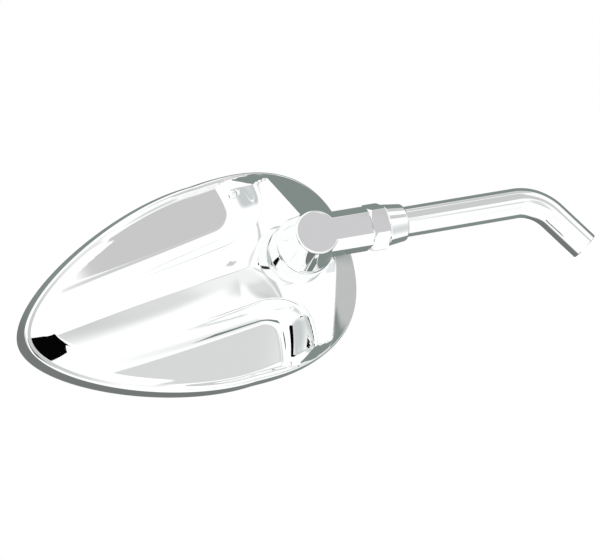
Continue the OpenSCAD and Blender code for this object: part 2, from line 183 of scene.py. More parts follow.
# What follows from them
RISE = math.radians(90 - BEND_ANGLE)
BEND_TANGENT = BEND_R * math.tan(math.radians(BEND_ANGLE / 2))
KNUCKLE_AT = Vector((-ARM_LEN * math.cos(RISE), 0, LEG_LEN + ARM_LEN * math.sin(RISE)))
BALL_AT = KNUCKLE_AT + Vector((0, KNUCKLE_H / 2 + SKIRT_START + SKIRT_H + GAP, 0))
GLASS_INSET = FRONT_RIM + GASKET_W
GLASS_MID = HEAD_LEN / 2
GLASS_REACH = GLASS_MID - GLASS_INSET
# Where the edge's form at the tip starts to give way to that at the broad end, and where it has
END_FROM = BALL_U - 22.5
END_FULL = BALL_U + 2.5
# From the glass's middle to its edge at the belly
BELLY_REACH = math.hypot(GLASS_MID - BELLY, HEAD_W / 2 - GLASS_INSET)
STACK_T = GLASS_T + FOAM_T + BACKING_T
SEAT_R = BALL_R + RUN_FIT + LINER_WALL + RUN_FIT
CUP_BOTTOM = -BALL_R - RUN_FIT - CUP_FLOOR
BOSS_R = SEAT_R + BOSS_WALL
TOP_INSET = 1.9
CAVITY_INSET = TOP_INSET + WALL - THINNER_AT_RIM


def lens_height(reach):
    """Height of the glass's front face, this far from its middle."""
    return GLASS_SINK + (reach * reach - BELLY_REACH ** 2) / (2 * GLASS_RADIUS)


LEDGE_Z = lens_height(GLASS_REACH) + STACK_T + SEAT_GAP
PLATE_REACH = BALL_U + PLATE_SCREW_CIRCLE + 2 * PLATE_SCREW_R - GLASS_MID
BALL_Z = lens_height(PLATE_REACH) + STACK_T + GAP + PLATE_T + SPRING_STACK - CUP_BOTTOM
CREST_TOP = BALL_Z + PLATEAU_RISE

# Frames, in millimetres: the arm from the knuckle, the ball joint square to the knuckle,
# and the head from its tip in the front plane
AT_ARM = (Matrix.Translation(KNUCKLE_AT) @ Matrix.Rotation(RISE, 4, "Y")
          @ Matrix.Rotation(math.radians(90), 4, "X"))
AT_STUD = Matrix.Translation(BALL_AT) @ Matrix.Rotation(math.radians(90), 4, "X")
AT_BALL = (Matrix.Translation(BALL_AT) @ Matrix.Rotation(math.radians(90 + LEAN), 4, "X")
           @ Matrix.Rotation(math.radians(-HEAD_TURN), 4, "Z"))
AT_HEAD = AT_BALL @ Matrix.Translation((-BALL_U, -BALL_V, -BALL_Z))
TO_METRES = Matrix.Scale(0.001, 4)


# Finishes

def linear(hex_code):
    """An sRGB hex colour as the linear colour that a shader takes."""
    channels = [int(hex_code[i:i + 2], 16) / 255 for i in (1, 3, 5)]
    return [c / 12.92 if c <= 0.04045 else ((c + 0.055) / 1.055) ** 2.4 for c in channels] + [1]


def add(tree, kind, settings=None, **inputs):
    """A node of this kind, with its settings, and each input a value or a socket to link.

    An input is named by its label, or by its number, as in i3, where labels repeat.
    """
    node = tree.nodes.new(kind)
    for name, value in (settings or {}).items():
        setattr(node, name, value)
    for name, value in inputs.items():
        numbered = name[0] == "i" and name[1:].isdigit()
        socket = node.inputs[int(name[1:]) if numbered else name.replace("_", " ")]
        if isinstance(value, bpy.types.NodeSocket):
            tree.links.new(value, socket)
        else:
            socket.default_value = value
    return node


def blank_material(name):
    """A new material with no nodes, and its node tree."""
    material = bpy.data.materials.new(name)
    material.use_nodes = True
    material.node_tree.nodes.clear()
    return material, material.node_tree


def every(size):
    """Scale of a pattern whose marks are this many millimetres apart, on a mesh in metres."""
    return 1000 / size


# Millimetres: how far apart patches of haze and grains are, and how deep the grain is. Real grain is
# too fine to show, so it is drawn this coarse.
HAZE_PATCH = 6.25
GRAIN = 1.1
GRAIN_DEPTH = 0.2
# The least and the most haze, as shares of the finish's roughness
HAZE_LEAST = 0.7
HAZE_MOST = 1.4


def chrome(name, hex_code, roughness):
    """Bright plating, or silver behind glass: a hard mirror, whose haze varies from patch to patch."""
    material, tree = blank_material(name)
    place = add(tree, "ShaderNodeTexCoord").outputs["Object"]
    haze = add(tree, "ShaderNodeTexNoise", Vector=place, Scale=every(HAZE_PATCH), Detail=3.0)
    rough = add(tree, "ShaderNodeMapRange", Value=haze.outputs["Fac"],
                i3=roughness * HAZE_LEAST, i4=roughness * HAZE_MOST)
    shader = add(tree, "ShaderNodeBsdfPrincipled", Base_Color=linear(hex_code), Metallic=1.0,
                 Roughness=rough.outputs["Result"])
    add(tree, "ShaderNodeOutputMaterial", Surface=shader.outputs["BSDF"])
    return material


def plain(name, hex_code, roughness, metallic=0.0):
    """Plain plating, plastic, foam or rubber: one colour, with a fine grain that softens its shine."""
    material, tree = blank_material(name)
    place = add(tree, "ShaderNodeTexCoord").outputs["Object"]
    grain = add(tree, "ShaderNodeTexNoise", Vector=place, Scale=every(GRAIN), Detail=2.0)
    bump = add(tree, "ShaderNodeBump", Height=grain.outputs["Fac"], Strength=0.15,
               Distance=GRAIN_DEPTH * 0.001)
    shader = add(tree, "ShaderNodeBsdfPrincipled", Base_Color=linear(hex_code), Metallic=metallic,
                 Roughness=roughness, Normal=bump.outputs["Normal"])
    add(tree, "ShaderNodeOutputMaterial", Surface=shader.outputs["BSDF"])
    return material


FINISHES = {
    # Chrome plate on a buffed casting: a bright neutral mirror
    "polished_chrome": chrome("polished_chrome_plate", "#FAFBFB", 0.03),
    # Chrome plate on turned steel: the same mirror, a little softer from the fine tool marks
    "turned_chrome": chrome("turned_chrome_plate", "#F8F9F9", 0.05),
    # Bright zinc on steel: a pale grey metal with a blurred shine
    "zinc_steel": plain("zinc_plated_steel", "#B4B6B4", 0.35, 1.0),
    # Spring steel, heat-blued: a dark blue-grey metal
    "spring_steel": plain("blued_spring_steel", "#5A5E66", 0.3, 1.0),
    # Nylon as moulded: warm white with a waxy shine
    "nylon_white": plain("moulded_nylon", "#E6E2D8", 0.45),
    # ABS as moulded: near black, half matt
    "black_plastic": plain("moulded_black_plastic", "#1C1C1E", 0.5),
    # Foam sheet with closed cells: black and dull
    "foam_black": plain("closed_cell_foam", "#202022", 0.9),
    # EPDM rubber as moulded: black and matt
    "gasket_rubber": plain("gasket_rubber", "#141414", 0.7),
    # Glass with silver behind it: the clearest mirror of the part
    "mirror_glass": chrome("silvered_glass", "#F4F6F6", 0.01),
}


# Making pieces

def sheet(bm, columns, rows, place):
    """A grid of columns by rows faces, each corner moved to where place says, for two shares 0 to 1."""
    corners = bmesh.ops.create_grid(bm, x_segments=columns, y_segments=rows, size=1)["verts"]
    flat = np.array([corner.co[:2] for corner in corners])
    across, along = (flat[:, 0] + 1) / 2, (flat[:, 1] + 1) / 2
    for corner, spot in zip(corners, np.stack(np.broadcast_arrays(*place(across, along)), 1)):
        corner.co = spot


def finish_piece(bm, name, body, nodes, finish, place=None, sharp=35):
    """Merge the piece, turn its faces outwards, put it in its place, and let it stand for its nodes."""
    bmesh.ops.remove_doubles(bm, verts=bm.verts, dist=MERGE)
    bmesh.ops.recalc_face_normals(bm, faces=bm.faces)
    bmesh.ops.transform(bm, matrix=TO_METRES @ (place or Matrix()), verts=bm.verts)
    mesh = bpy.data.meshes.new(name)
    bm.to_mesh(mesh)
    bm.free()
    mesh.shade_smooth()
    mesh.set_sharp_from_angle(angle=math.radians(sharp))
    mesh.materials.append(FINISHES[finish])
    piece = bpy.data.objects.new(name, mesh)
    bpy.context.scene.collection.objects.link(piece)
    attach(piece, body)
    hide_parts(*nodes)
    return piece


def turned(profile, steps=128):
    """A profile of (radius, height) points turned round the Z axis, as a bmesh."""
    bm = bmesh.new()
    points = [bm.verts.new((r, 0, z)) for r, z in profile]
    edges = [bm.edges.new(pair) for pair in zip(points, points[1:])]
    bmesh.ops.spin(bm, geom=points + edges, cent=(0, 0, 0), axis=(0, 0, 1), dvec=(0, 0, 0),
                   angle=2 * math.pi, steps=steps, use_merge=True)
    bmesh.ops.remove_doubles(bm, verts=bm.verts, dist=MERGE)
    return bm


# A round takes at most this share of the profile's sides next to it
ROUND_SHARE = 0.45


def rounded(profile, radius, steps=4):
    """A profile with each inner corner rounded by a short arc of about this radius."""
    out = [profile[0]]
    for before, here, after in zip(profile, profile[1:], profile[2:]):
        here, before, after = Vector(here), Vector(before), Vector(after)
        back, on = before - here, after - here
        cut = min(radius, back.length * ROUND_SHARE, on.length * ROUND_SHARE)
        start, end = here + back.normalized() * cut, here + on.normalized() * cut
        for i in range(steps + 1):
            t = i / steps
            spot = start * (1 - t) ** 2 + here * 2 * t * (1 - t) + end * t ** 2
            out.append((spot.x, spot.y))
    out.append(profile[-1])
    return out


# The head's form

def curve_at(a, b, c, d, t):
    """A point at share t of the curve from a to d, with b and c as its handles."""
    s = 1 - t
    return s ** 3 * a + 3 * s * s * t * b + 3 * s * t * t * c + t ** 3 * d


# Handles of the outline's curves, in millimetres
TIP_HANDLE = 19
BELLY_IN = 37
BELLY_OUT = 9
END_HANDLE = 52


def edge(t, inset):
    """A point of the outline's upper side: t runs from 0 at the tip to 2 at the broad end."""
    length, half, mid = HEAD_LEN - 2 * inset, HEAD_W / 2 - inset, BELLY - inset
    first, last = np.minimum(t, 1), np.maximum(t, 1) - 1
    u = np.where(t <= 1, curve_at(0, 0, mid - BELLY_IN, mid, first),
                 curve_at(mid, mid + BELLY_OUT, length, length, last))
    v = np.where(t <= 1, curve_at(0, TIP_HANDLE - inset / 2, half, half, first),
                 curve_at(half, half, END_HANDLE - inset, 0, last))
    return u + inset, v


RIM_POINTS = 500
POINTS_AT_ONCE = 2000
RIM_LINE = np.stack(edge(np.linspace(0, 2, RIM_POINTS), TOP_INSET), 1)


def rim_distance(u, v):
    """Distance from each point to the inner edge of the rim."""
    start, step = RIM_LINE[:-1], np.diff(RIM_LINE, axis=0)
    reach = (step * step).sum(1)
    out = []
    for spots in np.array_split(np.stack([u, v], 1), max(1, len(u) // POINTS_AT_ONCE)):
        away = spots[:, None, :] - start[None]
        share = np.clip((away * step).sum(2) / reach, 0, 1)
        out.append(np.sqrt(((away - share[..., None] * step) ** 2).sum(2).min(1)))
    return np.concatenate(out)


def ramp(x):
    """x held between 0 and 1."""
    return np.clip(x, 0, 1)


def soft(x):
    """From 0 to 1, with a soft start and a soft end."""
    k = ramp(x)
    return k * k * (3 - 2 * k)


def scoop(x):
    """The concave wall of a pocket, from its edge to its floor."""
    return 1 - (1 - ramp(x)) ** SCOOP_POWER


def spine_half(u):
    """Half the spine's width, at a place along the head."""
    return SPINE_TIP + (SPINE_TOP - SPINE_TIP) * u / LOWER_POCKET_END


def spine_mid(u):
    """The spine's centre line bows a little, from the tip to the ball joint."""
    return SPINE_SHIFT + SPINE_BOW * (u / BALL_U) ** 2


def crest_line(u):
    """The crease along the spine leaves the tip below the middle and rises above it."""
    return CREST_SHIFT + CREST_BOW * (1 - (1 - u / BALL_U) ** 2)


def plateau(u, v):
    """The low roof of the spine, with a crease along its crest, which flattens into the plateau."""
    crest = CREST_TIP + (CREST_TOP - CREST_TIP) * np.sin(math.pi / 2 * ramp(u / BALL_U))
    roof = 1 - soft((u - BALL_U + ROOF_FADE) / ROOF_RUN)
    x = np.minimum(ROOF_LIMIT, np.abs(v - crest_line(u)) / SPINE_TOP)
    return crest - SPINE_DROP * roof * (ROOF_STRAIGHT * x + (1 - ROOF_STRAIGHT) * x * x)


def eased(distance):
    """A distance whose start, at zero, is rounded."""
    start = np.clip(distance + EDGE_ROUND, 0, None) ** 2 / (4 * EDGE_ROUND)
    return np.where(distance < EDGE_ROUND, start, distance)


def corner(a, b):
    """The distance from two edges that meet in a round corner."""
    inner = POCKET_CORNER - np.hypot(POCKET_CORNER - a, POCKET_CORNER - b)
    return np.where((a < POCKET_CORNER) & (b < POCKET_CORNER), inner, np.minimum(a, b))


def pocket_depth(u, v, off):
    """Share of the full depth, 0 on the spine and the plateau and 1 on the pocket's floor.

    off is the distance from the spine's centre line.
    """
    far = np.where(v > 0, UPPER_POCKET_END, LOWER_POCKET_END) - FAR_BOW * (off - FAR_MID) ** 2
    return scoop(eased(corner(off - spine_half(u), (far - u) * SCOOP_W / END_SCOOP_W)) / SCOOP_W)


def plateau_edge(v):
    """Where the plateau gives way to the sloping wall of the broad end."""
    return PEAK_U - np.where(v > PEAK_V, UPPER_DRAW, LOWER_DRAW) * (
        np.hypot(v - PEAK_V, PEAK_ROUND) - PEAK_ROUND)


def top_height(u, v):
    """Height of the casting's outside above the front plane."""
    off = np.abs(v - spine_mid(u))
    half = spine_half(u)
    deep = pocket_depth(u, v, off)
    across = np.maximum(1, HEAD_W / 2 - POCKET_MARGIN - half)
    floor = RIM_H - POCKET_DROP + POCKET_RISE * ramp(1 - (off - half) / across)
    top = plateau(u, v)
    body = top - (top - floor) * deep
    at_end = soft((u - END_FROM) / (END_FULL - END_FROM))
    away = np.maximum(0, rim_distance(u, np.abs(v)) - LIP_W * (1 - at_end))
    side_run = TIP_RUN + (CORNER_RUN - TIP_RUN) * at_end
    run = np.maximum(side_run * (1 - deep) + LIP_RUN * deep, away + u - plateau_edge(v))
    return RIM_H + (body - RIM_H) * np.where(body < RIM_H, soft(away / LOW_EASE), ramp(away / run))


# The ribs' feet run along the crest, and leave it for the head's centre line at both ends
FIRST_FOOT = 7
LAST_FOOT = PEAK_U - 1
FOOT_EASE = 3
# Share of a rib at which it crosses the spine's edge: a first guess, its limits, and steps to find it
CREASE_GUESS = 0.7
CREASE_LIMITS = (0.26, 0.9)
CREASE_STEPS = 5


def rib(t, side, inset, x):
    """A point on the rib from the rim at t (x = 0) by the spine's edge (x = 1) to the crest (x = 2)."""
    u, reach = edge(t, inset)
    foot = np.where(u <= BELLY, FIRST_FOOT + (BELLY - FIRST_FOOT) * u / BELLY,
                    BELLY + (LAST_FOOT - BELLY) * (u - BELLY) / (HEAD_LEN - TOP_INSET - BELLY))
    foot_v = (crest_line(foot) * soft((foot - FIRST_FOOT) / (BELLY - FIRST_FOOT) * FOOT_EASE)
              * soft((LAST_FOOT - foot) / (LAST_FOOT - LOWER_POCKET_END)))
    crease = CREASE_GUESS
    for _ in range(CREASE_STEPS):
        here = u + (foot - u) * crease
        crease = np.clip((reach - side * spine_mid(here) - spine_half(here))
                         / np.maximum(1, reach - side * foot_v), *CREASE_LIMITS)
    share = np.where(x <= 1, crease * x, crease + (1 - crease) * (x - 1))
    return u + (foot - u) * share, side * reach + (foot_v - side * reach) * share


# Faces and points that round forms are made of
HEAD_COLUMNS = 560
RIM_ROWS = 18
FACE_POINTS = 7
HOLLOW_POINTS = 16
DOME_POINTS = 24
SEAT_POINTS = 12
PLUG_POINTS = 12
GLASS_COLUMNS = 280
GLASS_ROWS = 24
BEND_STEPS = 28
# How much closer together the ribs stand round the belly
BELLY_CROWD = 0.06


def around(share):
    """Shares 0 to 1 once round the outline, as the rib's t and which side of the head it is on."""
    turn = 4 * share
    side = np.where(turn <= 2, 1.0, -1.0)
    t = np.where(turn <= 2, turn, 4 - turn)
    return t + BELLY_CROWD * np.sin(math.pi * t), side


def rim_band(points):
    """Place for a band round the outline whose section runs through these (inset, height) points."""
    marks = np.linspace(0, 1, len(points))
    insets, heights = np.array(points, float).T

    def place(across, along):
        t, side = around(across)
        inset, height = np.interp(along, marks, insets), np.interp(along, marks, heights)
        u, v = np.zeros_like(t), np.zeros_like(t)
        for value in np.unique(inset):
            here = inset == value
            u[here], v[here] = edge(t[here], value)
        return u, v * side, height
    return place


def casting_top(inset, drop, marks):
    """Place for the head's surface inside the rim. marks are the ribs' x at even shares of the rows."""
    def place(across, along):
        t, side = around(across)
        x = np.interp(along, np.linspace(0, 1, len(marks)), marks)
        u, v = rib(t, side, inset, x)
        return u, v, top_height(u, v) - drop
    return place


PLUG_Z = top_height(np.array([PLUG_U]), np.array([float(PLUG_V)]))[0]
AT_PLUG = AT_HEAD @ Matrix.Translation((PLUG_U, PLUG_V, PLUG_Z - PLUG_SEAT))


def smooth_through(points, count):
    """A smooth curve of this many steps, which passes through the points."""
    pts = [Vector(p) for p in points]
    pts = [2 * pts[0] - pts[1]] + pts + [2 * pts[-1] - pts[-2]]
    out = []
    for i in range(count + 1):
        where = i / count * (len(pts) - 3)
        k = min(int(where), len(pts) - 4)
        t = where - k
        a, b, c, d = pts[k:k + 4]
        spot = 0.5 * (2 * b + (c - a) * t + (2 * a - 5 * b + 4 * c - d) * t ** 2
                      + (3 * b - a - 3 * c + d) * t ** 3)
        out.append((spot.x, spot.y))
    return out


# The rounded rim from its top to the front, as insets in millimetres and shares of its height
RIM_PROFILE = [(1.9, 1), (1.3, 0.96), (0.9, 0.88), (0.45, 0.6), (0, 0.18), (0.25, 0.06), (1.0, 0)]


def form_mesh(form, place):
    """A closed form's mesh, with its faces outwards, put in its place."""
    bmesh.ops.recalc_face_normals(form, faces=form.faces)
    bmesh.ops.transform(form, matrix=TO_METRES @ place, verts=form.verts)
    mesh = bpy.data.meshes.new("form")
    form.to_mesh(mesh)
    form.free()
    return mesh


def boolean(piece, form, place, operation):
    """Add a closed form to the piece, cut it away or keep what both fill."""
    mesh = form_mesh(form, place)
    tool = bpy.data.objects.new("form", mesh)
    bpy.context.scene.collection.objects.link(tool)
    change = piece.modifiers.new("change", "BOOLEAN")
    change.operation = operation
    change.solver = "EXACT"
    change.object = tool
    result = bpy.data.meshes.new_from_object(
        piece.evaluated_get(bpy.context.evaluated_depsgraph_get()))
    piece.modifiers.clear()
    old = piece.data
    piece.data = result
    bpy.data.meshes.remove(old)
    bpy.data.objects.remove(tool)
    bpy.data.meshes.remove(mesh)


def even_shading(piece, sharp=35):
    """Flat faces keep their own direction, and the rounds between them take up the turn."""
    piece.data.shade_smooth()
    piece.data.set_sharp_from_angle(angle=math.radians(sharp))
    weighted = piece.modifiers.new("even_shading", "WEIGHTED_NORMAL")
    weighted.keep_sharp = True
    weighted.weight = 100


def take_in(piece, form, place):
    """Add a closed form to the piece's own mesh, where it meets the rest under the surface."""
    mesh = form_mesh(form, place)
    both = bmesh.new()
    both.from_mesh(piece.data)
    both.from_mesh(mesh)
    both.to_mesh(piece.data)
    both.free()
    bpy.data.meshes.remove(mesh)


def rod(radius, start, end, axis="Z", steps=96):
    """A closed cylinder along an axis, as a bmesh."""
    bm = bmesh.new()
    made = bmesh.ops.create_cone(bm, cap_ends=True, segments=steps, radius1=radius, radius2=radius,
                                 depth=end - start)["verts"]
    bmesh.ops.translate(bm, verts=made, vec=(0, 0, (start + end) / 2))
    if axis == "X":
        bmesh.ops.rotate(bm, verts=made, matrix=Matrix.Rotation(math.radians(90), 3, "Y"))
    return bm


# Millimetres: an edge that spans more than this runs along its form
LONG_SIDE = 1


def long_or_far(start, end):
    """Whether an edge of the shank runs along it, or lies at its far end."""
    return abs(start.x - end.x) > LONG_SIDE or min(start.x, end.x) > LONG_SIDE


ALONG_ARM = AT_ARM @ Matrix.Rotation(math.radians(90), 4, "Y")


def knuckle_piece():
    """Cone with a flat round face, and the eight-sided shank that takes the stem."""
    half, r = KNUCKLE_H / 2, FACE_D / 2
    face = [(r - FACE_ROUND * (1 - math.cos(a)), half - FACE_ROUND * (1 - math.sin(a)))
            for a in np.linspace(0, math.pi / 2, FACE_POINTS)]
    foot = [(0, -half), (CONE_D / 2 - CONE_BREAK, -half), (CONE_D / 2, -half + CONE_BREAK)]
    bm = turned(foot + face + [(0, half)], steps=160)
    piece = finish_piece(bm, "knuckle_body", "knuckle", ["knuckle"], "polished_chrome", AT_ARM)
    w, c = SHANK_W / 2, SHANK_CHAMFER
    end = NUT_START - SEAT_GAP
    shank = bmesh.new()
    corners = [shank.verts.new((0, y, z)) for y, z in (
        (w - c, -half), (w, -half + c), (w, half - c), (w - c, half),
        (-w + c, half), (-w, half - c), (-w, -half + c), (-w + c, -half))]
    base = shank.faces.new(corners)
    grown = bmesh.ops.extrude_face_region(shank, geom=[base])["geom"]
    far = [g for g in grown if isinstance(g, bmesh.types.BMVert)]
    bmesh.ops.translate(shank, verts=far, vec=(end, 0, 0))
    bmesh.ops.bevel(shank, geom=[e for e in shank.edges if long_or_far(e.verts[0].co, e.verts[1].co)],
                    offset=SHANK_BREAK, segments=3, profile=0.5, affect="EDGES", material=-1)
    boolean(piece, shank, AT_ARM, "UNION")
    spigot_hole = rod(SPIGOT_R + RUN_FIT, SPIGOT_START - SPIGOT_ROOM, end + PAST, "X")
    boolean(piece, spigot_hole, AT_ARM, "DIFFERENCE")
    boolean(piece, rod(STUD_R + SEAT_GAP, -half - PAST, half - STUD_COVER), AT_ARM, "DIFFERENCE")
    even_shading(piece)


def jam_nut_piece():
    """Hexagon nut with a turned chamfer on each face, one flat square to the knuckle's face."""
    corner = NUT_FLATS / 2 / math.cos(math.radians(30))
    bm = rod(corner, 0, NUT_H, steps=6)
    upright = [e for e in bm.edges if abs(e.verts[0].co.z - e.verts[1].co.z) > LONG_SIDE]
    bmesh.ops.bevel(bm, geom=upright, offset=NUT_BREAK, segments=3, profile=0.5, affect="EDGES",
                    material=-1)
    place = ALONG_ARM @ Matrix.Translation((0, 0, NUT_START))
    piece = finish_piece(bm, "hex_nut", "stem", ["jam_nut"], "turned_chrome", place)
    boolean(piece, turned([(0, 0), (corner - NUT_CHAMFER_W, 0), (corner, NUT_CHAMFER_H),
                           (corner, NUT_H - NUT_CHAMFER_H / 2), (corner - NUT_CHAMFER_W / 2, NUT_H),
                           (0, NUT_H)]), place, "INTERSECT")
    boolean(piece, rod(SPIGOT_R + SEAT_GAP, -PAST, NUT_H + PAST), place, "DIFFERENCE")
    even_shading(piece, sharp=25)


def collar_piece():
    """Tapered ring behind the nut, with its edges broken."""
    bore, wide, narrow = STEM_D / 2 + SEAT_GAP, COLLAR_D1 / 2, COLLAR_D2 / 2
    profile = rounded([(bore, COLLAR_LEN / 2), (bore, 0), (wide - COLLAR_BREAK, 0), (wide, COLLAR_BREAK),
                       (narrow, COLLAR_LEN - COLLAR_BREAK), (narrow - COLLAR_BREAK, COLLAR_LEN),
                       (bore, COLLAR_LEN), (bore, COLLAR_LEN / 2)], COLLAR_ROUND)
    piece = finish_piece(turned(profile), "taper_collar", "stem", ["stem_collar"], "turned_chrome",
                         ALONG_ARM @ Matrix.Translation((0, 0, NUT_START + NUT_H + SEAT_GAP)))
    even_shading(piece, sharp=50)


def skirt_piece():
    """Round cover between knuckle and head, hollowed to slide over the dome."""
    r, top = SKIRT_D / 2, SKIRT_START + SKIRT_H
    inside = DOME_R + GAP
    mouth = math.sqrt(inside ** 2 - SKIRT_START ** 2)
    bore = STUD_R + RUN_FIT
    hollow = [(inside * math.sin(a), inside * math.cos(a))
              for a in np.linspace(math.asin(bore / inside), math.asin(mouth / inside), HOLLOW_POINTS)]
    inward, down = SHOULDER_MID
    outside = rounded([(r - SKIRT_LIP, SKIRT_START), (r, SKIRT_START), (r, top - SHOULDER_H),
                       (r - inward, top - down), (r - SHOULDER_W, top), (bore, top)], SKIRT_ROUND)
    bm = turned([(bore, top)] + hollow + outside, steps=160)
    piece = finish_piece(bm, "swivel_skirt", "skirt", ["skirt"], "turned_chrome", AT_STUD)
    even_shading(piece, sharp=50)


# Steps along the ribs, close together at the lip, down the concave wall and at the spine's edge
OUTSIDE_STEPS = np.concatenate([np.linspace(0, 0.12, 9)[:-1], np.linspace(0.12, 0.6, 25)[:-1],
                                np.linspace(0.6, 1, 33)[:-1], np.linspace(1, 1.12, 9)[:-1],
                                np.linspace(1.12, 2, 27)])
INSIDE_STEPS = np.array([0, 0.1, 0.3, 0.5, 0.7, 0.85, 1, 1.3, 1.6, 2])


def head_casting():
    """The scooped casting: its outside, rim, ledge and cavity, the bore and dome, and the plug's seat."""
    bm = bmesh.new()
    sheet(bm, HEAD_COLUMNS, len(OUTSIDE_STEPS) - 1, casting_top(TOP_INSET, 0, OUTSIDE_STEPS))
    side = smooth_through([(i, h * RIM_H) for i, h in RIM_PROFILE], RIM_ROWS)
    sheet(bm, HEAD_COLUMNS, len(side) - 1, rim_band(side))
    inner = [(RIM_PROFILE[-1][0], 0), (FRONT_RIM - FRONT_BREAK, 0), (FRONT_RIM, FRONT_BREAK),
             (FRONT_RIM, LEDGE_Z), (CAVITY_INSET, LEDGE_Z)]
    sheet(bm, HEAD_COLUMNS, len(inner) - 1, rim_band(inner))
    below = casting_top(CAVITY_INSET, WALL, INSIDE_STEPS)
    sheet(bm, HEAD_COLUMNS, len(INSIDE_STEPS) - 1, below)

    def wall(across, along):
        u, v, z = below(across, np.zeros_like(along))
        return u, v, LEDGE_Z + (z - LEDGE_Z) * along
    sheet(bm, HEAD_COLUMNS, 1, wall)
    piece = finish_piece(bm, "head_casting", "head", ["housing"], "polished_chrome", AT_HEAD, sharp=50)
    boolean(piece, rod(BORE_CUT_R, -BALL_Z + LEDGE_Z, DOME_R + PAST), AT_BALL, "DIFFERENCE")
    seat_hole = rod(PLUG_R + SEAT_GAP, 0, PLUG_CUT, steps=48)
    boolean(piece, seat_hole, AT_PLUG, "DIFFERENCE")
    reach = DOME_R - DOME_FOOT
    dome = [(DOME_R * math.cos(a), DOME_R * math.sin(a))
            for a in np.linspace(math.acos(reach / DOME_R), math.acos(MOUTH_R / DOME_R), DOME_POINTS)]
    seat = [(SEAT_R * math.cos(a), SEAT_R * math.sin(a))
            for a in np.linspace(SEAT_ARC, 0, SEAT_POINTS)]
    mouth = (MOUTH_LOW_R, MOUTH_LOW)
    take_in(piece, turned([(SEAT_R, CUP_BOTTOM), (BOSS_R, CUP_BOTTOM), (BOSS_R, 0), (reach, 0)] + dome
                          + [mouth] + seat + [(SEAT_R, CUP_BOTTOM)]), AT_BALL)
    piece.data.shade_smooth()
    piece.data.set_sharp_from_angle(angle=math.radians(40))


def plug_piece():
    """Short round plug with a domed end, in its seat in the upper pocket."""
    bend = PLUG_R * PLUG_BEND
    top = [(bend * math.sin(a), PLUG_DOME - bend + bend * math.cos(a))
           for a in np.linspace(math.asin(PLUG_R / bend), 0, PLUG_POINTS)]
    pin = [(0, -PLUG_PIN), (PLUG_R / 2, -PLUG_PIN), (PLUG_R / 2, 0), (PLUG_R, 0)]
    finish_piece(turned(pin + top, steps=64), "pocket_plug_pin", "head", ["pocket_plug"],
                 "turned_chrome", AT_PLUG)


def glass_piece():
    """Convex silvered glass, with the small ground edge that such glass has."""
    bm = bmesh.new()

    def face(inset, height):
        def place(across, along):
            t, side = around(across)
            u, v = edge(t, inset)
            u, v = GLASS_MID + (u - GLASS_MID) * along, v * side * along
            return u, v, lens_height(np.hypot(u - GLASS_MID, v)) + height
        return place

    def ground(outer, inner, low, high):
        def place(across, along):
            t, side = around(across)
            u0, v0 = edge(t, outer)
            u1, v1 = edge(t, inner)
            u, v = u0 + (u1 - u0) * along, (v0 + (v1 - v0) * along) * side
            return u, v, lens_height(np.hypot(u - GLASS_MID, v)) + low + (high - low) * along
        return place
    cut = GLASS_INSET + GROUND_EDGE
    sheet(bm, GLASS_COLUMNS, GLASS_ROWS, face(cut, 0))
    sheet(bm, GLASS_COLUMNS, GLASS_ROWS, face(GLASS_INSET, GLASS_T))
    sheet(bm, GLASS_COLUMNS, 1, ground(GLASS_INSET, cut, GROUND_EDGE, 0))
    sheet(bm, GLASS_COLUMNS, 1, ground(GLASS_INSET, GLASS_INSET, GROUND_EDGE, GLASS_T))
    finish_piece(bm, "convex_glass", "head", ["mirror_glass"], "mirror_glass", AT_HEAD)


def gasket_piece():
    """Rubber ring between glass and casting, with a rounded lip."""
    bm = bmesh.new()
    out, inner = FRONT_RIM + SEAT_GAP, GLASS_INSET - SEAT_GAP
    low, high = GLASS_SINK / 2, LEDGE_Z - STACK_T + GLASS_T
    third = (inner - out) / 3
    aside, up = third * GASKET_ROUND[0], third * GASKET_ROUND[1]
    profile = [(out, high), (out, low + third), (out + aside, low + up), (out + third, low),
               (inner - third, low), (inner - aside, low + up), (inner, low + third),
               (inner, high), (out, high)]
    sheet(bm, GLASS_COLUMNS, len(profile) - 1, rim_band(profile))
    finish_piece(bm, "gasket_ring", "head", ["glass_gasket"], "gasket_rubber", AT_HEAD)


